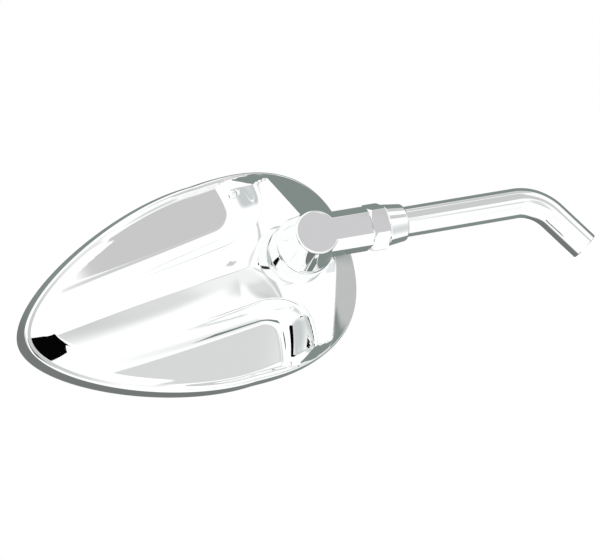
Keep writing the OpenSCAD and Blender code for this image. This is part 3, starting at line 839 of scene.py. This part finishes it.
def stem_bar():
    """Bent round bar: the cut end with its tapped hole, the leg, the bend, the arm and the spigot."""
    bm = bmesh.new()
    r = STEM_D / 2
    leg_top = LEG_LEN - BEND_TANGENT
    arm_from = ARM_LEN - BEND_TANGENT
    inset = r - STEM_BREAK
    bmesh.ops.create_circle(bm, segments=96, radius=inset)
    loop = list(bm.edges)

    def carry(edges, move=None, scale=None):
        """Extrude the loop of edges, scale and move it, and give its new edges and corners."""
        grown = bmesh.ops.extrude_edge_only(bm, edges=edges)["geom"]
        verts = [g for g in grown if isinstance(g, bmesh.types.BMVert)]
        if scale:
            bmesh.ops.scale(bm, verts=verts, vec=scale)
        if move:
            bmesh.ops.translate(bm, verts=verts, vec=move)
        return [g for g in grown if isinstance(g, bmesh.types.BMEdge)
                and all(v in verts for v in g.verts)], verts
    inner, _ = carry(loop, scale=(HOLE_R / inset,) * 2 + (1,))
    turns = int((HOLE_DEPTH - THREAD_STOP) / THREAD_PITCH)
    for _ in range(turns):
        inner, _ = carry(inner, move=(0, 0, THREAD_PITCH / 2), scale=(THREAD_CREST,) * 2 + (1,))
        inner, _ = carry(inner, move=(0, 0, THREAD_PITCH / 2), scale=(1 / THREAD_CREST,) * 2 + (1,))
    inner, _ = carry(inner, move=(0, 0, HOLE_DEPTH - turns * THREAD_PITCH))
    _, tip = carry(inner, move=(0, 0, DRILL_POINT))
    bmesh.ops.pointmerge(bm, verts=tip, merge_co=(0, 0, HOLE_DEPTH + DRILL_POINT))
    outer, _ = carry(loop, scale=(r / inset,) * 2 + (1,), move=(0, 0, STEM_BREAK))
    outer, _ = carry(outer, move=(0, 0, leg_top - STEM_BREAK))
    bent = bmesh.ops.spin(bm, geom=outer, cent=(-BEND_R, 0, leg_top), axis=(0, -1, 0), dvec=(0, 0, 0),
                          angle=math.radians(BEND_ANGLE), steps=BEND_STEPS, use_duplicate=False)
    outer = [g for g in bent["geom_last"] if isinstance(g, bmesh.types.BMEdge)]
    back = Vector((-math.cos(RISE), 0, math.sin(RISE)))
    outer, _ = carry(outer, move=back * (arm_from - NUT_START - NUT_H))
    bmesh.ops.contextual_create(bm, geom=outer)
    piece = finish_piece(bm, "stem_bar", "stem", ["stem"], "turned_chrome")
    take_in(piece, rod(SPIGOT_R, SPIGOT_START, NUT_START + NUT_H + PAST, "X"), AT_ARM)


stem_bar()
collar_piece()
jam_nut_piece()
knuckle_piece()
skirt_piece()
head_casting()
plug_piece()
glass_piece()
gasket_piece()

# The inside pieces keep the solids' own form
INSIDE = {"ball_stud": "zinc_steel", "ball_liner": "nylon_white", "pressure_cup": "zinc_steel",
          "disc_springs": "spring_steel", "spring_plate": "zinc_steel", "plate_screws": "zinc_steel",
          "backing_plate": "black_plastic", "foam_pad": "foam_black"}
for node, finish in INSIDE.items():
    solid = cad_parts[node]
    solid.data.materials.clear()
    solid.data.materials.append(FINISHES[finish])

# Camera

# Its axes in the frame, from the view fitted to the photo
VIEW_RIGHT = Vector((0.617, -0.293, -0.731)).normalized()
VIEW_BACK = Vector((-0.407, -0.914, 0.023))
VIEW_BACK = (VIEW_BACK - VIEW_BACK.dot(VIEW_RIGHT) * VIEW_RIGHT).normalized()
VIEW_UP = VIEW_BACK.cross(VIEW_RIGHT)
CAMERA_DISTANCE = 1100
LENS = 162.36
FILM_WIDTH = 36
# The picture's centre, from the head's tip
PAST_TIP = 115.01
ABOVE_TIP = 27.42
TIP = AT_HEAD @ Vector((0, 0, 0))
VIEW_CENTRE = TIP + PAST_TIP * VIEW_RIGHT + ABOVE_TIP * VIEW_UP
camera_data = bpy.data.cameras.new("camera")
camera_data.lens = LENS
camera_data.sensor_width = FILM_WIDTH
camera = bpy.data.objects.new("camera", camera_data)
bpy.context.scene.collection.objects.link(camera)
axes = Matrix((VIEW_RIGHT, VIEW_UP, VIEW_BACK)).transposed().to_4x4()
camera.matrix_world = Matrix.Translation((VIEW_CENTRE + CAMERA_DISTANCE * VIEW_BACK) * 0.001) @ axes
bpy.context.scene.camera = camera

# Studio: a light tent that only reflections see, a pale floor and a soft lamp

# Metres, and strengths where 1 is white
PLAIN_LIGHT = 0.7
TENT_R = 2.5
TENT_LIGHT = 1.08
FLOOR_Z = -0.12
FLOOR_HALF = 2
FLOOR_LIFT = 0.45
LAMP_WIDTH = 1.2
LAMP_WATTS = 14
LAMP_STANDS = Vector((-0.5, -1.0, 1.3))

# Cards in the tent: the way to each in the camera's axes (right, up, towards it), its radius and
# soft edge in degrees, and its colour
CARDS = [
    ("left wall", (-0.93, -0.20, 0.28), 24, 20, "#C4C8C8"),
    ("right wall", (0.98, -0.20, 0.10), 22, 24, "#C8CCCC"),
    ("back wall", (0.10, 0.00, -1.00), 68, 6, "#7F8985"),
    ("back wall's dark side", (-0.60, -0.50, -0.62), 45, 14, "#727574"),
    ("back wall's bright side", (0.85, 0.05, -0.53), 20, 12, "#BABABA"),
    ("high grey card", (0.37, 0.90, 0.20), 7, 3, "#C8C8C8"),
    ("grey card below it", (0.46, 0.82, 0.33), 7, 3, "#C8C8C8"),
    ("middle grey card", (0.58, 0.68, 0.45), 11.5, 3, "#C9C9CA"),
    ("front grey card", (0.583, 0.533, 0.612), 3.0, 0.6, "#C6C4C5"),
    ("crest's high card", (0.60, 0.38, 0.70), 1, 5, "#DEDEDE"),
    ("crest's own card", (0.61, 0.31, 0.72), 2, 3, "#C6C6C6"),
    ("crest's card at the tip", (0.55, 0.17, 0.82), 6, 6, "#CBCBCB"),
    ("crest's card at the middle", (0.60, 0.16, 0.78), 4, 6, "#D8D8D8"),
    ("crest's card at the end", (0.67, 0.18, 0.72), 3, 5, "#EEEEEE"),
    ("lower card", (0.74, 0.11, 0.66), 4, 3, "#D3D3D3"),
    ("overhead grey card", (0.30, 0.94, -0.16), 10, 5, "#C9C9C9"),
    ("camera", (0.06, -0.02, 1.00), 4, 1, "#050505"),
]


def from_camera_axes(way):
    """A way given in the camera's axes, in the frame's axes."""
    right, up, back = way
    return right * VIEW_RIGHT + up * VIEW_UP + back * VIEW_BACK


def tent_material():
    """White, with a round soft-edged patch for each card, laid on from the tent's centre."""
    material, tree = blank_material("light_tent")
    place = add(tree, "ShaderNodeTexCoord").outputs["Object"]
    out = add(tree, "ShaderNodeVectorMath", {"operation": "SUBTRACT"}, i0=place,
              i1=tuple(VIEW_CENTRE * 0.001))
    way = add(tree, "ShaderNodeVectorMath", {"operation": "NORMALIZE"}, i0=out.outputs["Vector"])
    colour = linear("#FFFFFF")
    for _, way_there, radius, soft_edge, hex_code in CARDS:
        axis = from_camera_axes(way_there).normalized()
        facing = add(tree, "ShaderNodeVectorMath", {"operation": "DOT_PRODUCT"}, i0=way.outputs["Vector"],
                     i1=tuple(axis))
        share = add(tree, "ShaderNodeMapRange", {"interpolation_type": "SMOOTHSTEP"},
                    Value=facing.outputs["Value"], i1=math.cos(math.radians(radius + soft_edge / 2)),
                    i2=math.cos(math.radians(radius - soft_edge / 2)))
        colour = add(tree, "ShaderNodeMix", {"data_type": "RGBA"}, i0=share.outputs["Result"], i6=colour,
                     i7=linear(hex_code)).outputs[2]
    glow = add(tree, "ShaderNodeEmission", Color=colour, Strength=TENT_LIGHT)
    add(tree, "ShaderNodeOutputMaterial", Surface=glow.outputs["Emission"])
    material.cycles.emission_sampling = "NONE"
    return material


def stage_piece(bm, name, material):
    """A piece of the studio, which is no part of the mirror."""
    mesh = bpy.data.meshes.new(name)
    bm.to_mesh(mesh)
    bm.free()
    mesh.materials.append(material)
    piece = bpy.data.objects.new(name, mesh)
    bpy.context.scene.collection.objects.link(piece)
    return piece


def only_reflected(piece):
    """Chrome and glass see the piece. The camera and the lit surfaces do not."""
    piece.visible_camera = False
    piece.visible_diffuse = False
    piece.visible_shadow = False
    piece.visible_volume_scatter = False


def light_tent():
    """A large ball round the part, whose cards give the chrome its tones."""
    bm = bmesh.new()
    bmesh.ops.create_uvsphere(bm, u_segments=64, v_segments=32, radius=TENT_R)
    bmesh.ops.translate(bm, verts=bm.verts, vec=VIEW_CENTRE * 0.001)
    only_reflected(stage_piece(bm, "light_tent", tent_material()))


# Cards close to the part: the spot each stands by, its offset from there and the way it faces, both
# in the camera's axes, its width and depth, and its colour
NEAR_CARDS = [
    ("card_by_the_tip", AT_HEAD @ Vector((12, -3, 16)), (-2, -14, 58), (-0.03, -0.24, 0.97), 44, 66,
     "#050505"),
    ("card_under_the_knuckle", BALL_AT, (36, -55, 40), (0, 1, 0), 62, 18, "#7A8581"),
    ("card_over_the_knuckle", KNUCKLE_AT, (176, 156, 199), (0.545, 0.533, 0.65), 60, 31, "#D0CED0"),
]


def near_card(name, spot, offset, facing, width, depth, hex_code):
    """Flat card close to the part, which only the chrome next to it sees."""
    material, tree = blank_material(name)
    glow = add(tree, "ShaderNodeEmission", Color=linear(hex_code), Strength=1.0)
    add(tree, "ShaderNodeOutputMaterial", Surface=glow.outputs["Emission"])
    material.cycles.emission_sampling = "NONE"
    bm = bmesh.new()
    bmesh.ops.create_grid(bm, x_segments=1, y_segments=1, size=0.5)
    bmesh.ops.scale(bm, verts=bm.verts, vec=(width * 0.001, depth * 0.001, 1))
    out = from_camera_axes(facing).normalized()
    across = (VIEW_RIGHT - VIEW_RIGHT.dot(out) * out).normalized()
    stand = Matrix((across, out.cross(across), out)).transposed().to_4x4()
    stand.translation = (spot + from_camera_axes(offset)) * 0.001
    bmesh.ops.transform(bm, verts=bm.verts, matrix=stand)
    only_reflected(stage_piece(bm, name, material))


def pale_floor():
    """Floor that takes the part's shadow and otherwise shows as white."""
    material, tree = blank_material("pale_floor")
    seen = add(tree, "ShaderNodeLightPath").outputs["Is Camera Ray"]
    lift = add(tree, "ShaderNodeMath", {"operation": "MULTIPLY"}, i0=seen, i1=FLOOR_LIFT)
    glow = add(tree, "ShaderNodeEmission", Color=linear("#FFFFFF"), Strength=lift.outputs["Value"])
    matt = add(tree, "ShaderNodeBsdfDiffuse", Color=linear("#F4F4F4"))
    both = add(tree, "ShaderNodeAddShader", i0=glow.outputs["Emission"], i1=matt.outputs["BSDF"])
    add(tree, "ShaderNodeOutputMaterial", Surface=both.outputs["Shader"])
    material.cycles.emission_sampling = "NONE"
    bm = bmesh.new()
    bmesh.ops.create_grid(bm, x_segments=1, y_segments=1, size=FLOOR_HALF)
    bmesh.ops.translate(bm, verts=bm.verts, vec=(0, 0, FLOOR_Z))
    floor = stage_piece(bm, "floor", material)
    floor.visible_glossy = False


def studio_world():
    """White for the camera and in reflections, and a plainer light on the surfaces."""
    world = bpy.data.worlds.new("studio")
    bpy.context.scene.world = world
    world.use_nodes = True
    tree = world.node_tree
    tree.nodes.clear()
    path = add(tree, "ShaderNodeLightPath").outputs
    seen = add(tree, "ShaderNodeMath", {"use_clamp": True}, i0=path["Is Camera Ray"],
               i1=path["Is Glossy Ray"])
    seen = add(tree, "ShaderNodeMath", {"use_clamp": True}, i0=seen.outputs["Value"],
               i1=path["Is Transmission Ray"])
    strength = add(tree, "ShaderNodeMapRange", Value=seen.outputs["Value"], i3=PLAIN_LIGHT, i4=1.0)
    back = add(tree, "ShaderNodeBackground", Color=linear("#FFFFFF"), Strength=strength.outputs["Result"])
    add(tree, "ShaderNodeOutputWorld", Surface=back.outputs["Background"])


def soft_lamp():
    """A wide lamp above and in front, to the camera's left, which gives the floor its soft shadow."""
    data = bpy.data.lights.new("soft_lamp", "AREA")
    data.shape = "DISK"
    data.size = LAMP_WIDTH
    data.energy = LAMP_WATTS
    lamp = bpy.data.objects.new("soft_lamp", data)
    bpy.context.scene.collection.objects.link(lamp)
    spot = VIEW_CENTRE * 0.001 + LAMP_STANDS
    lamp.matrix_world = Matrix.Translation(spot) @ (
        VIEW_CENTRE * 0.001 - spot).to_track_quat("-Z", "Y").to_matrix().to_4x4()
    lamp.visible_glossy = False


studio_world()
light_tent()
for card in NEAR_CARDS:
    near_card(*card)
pale_floor()
soft_lamp()

bpy.context.scene.view_settings.view_transform = "Standard"
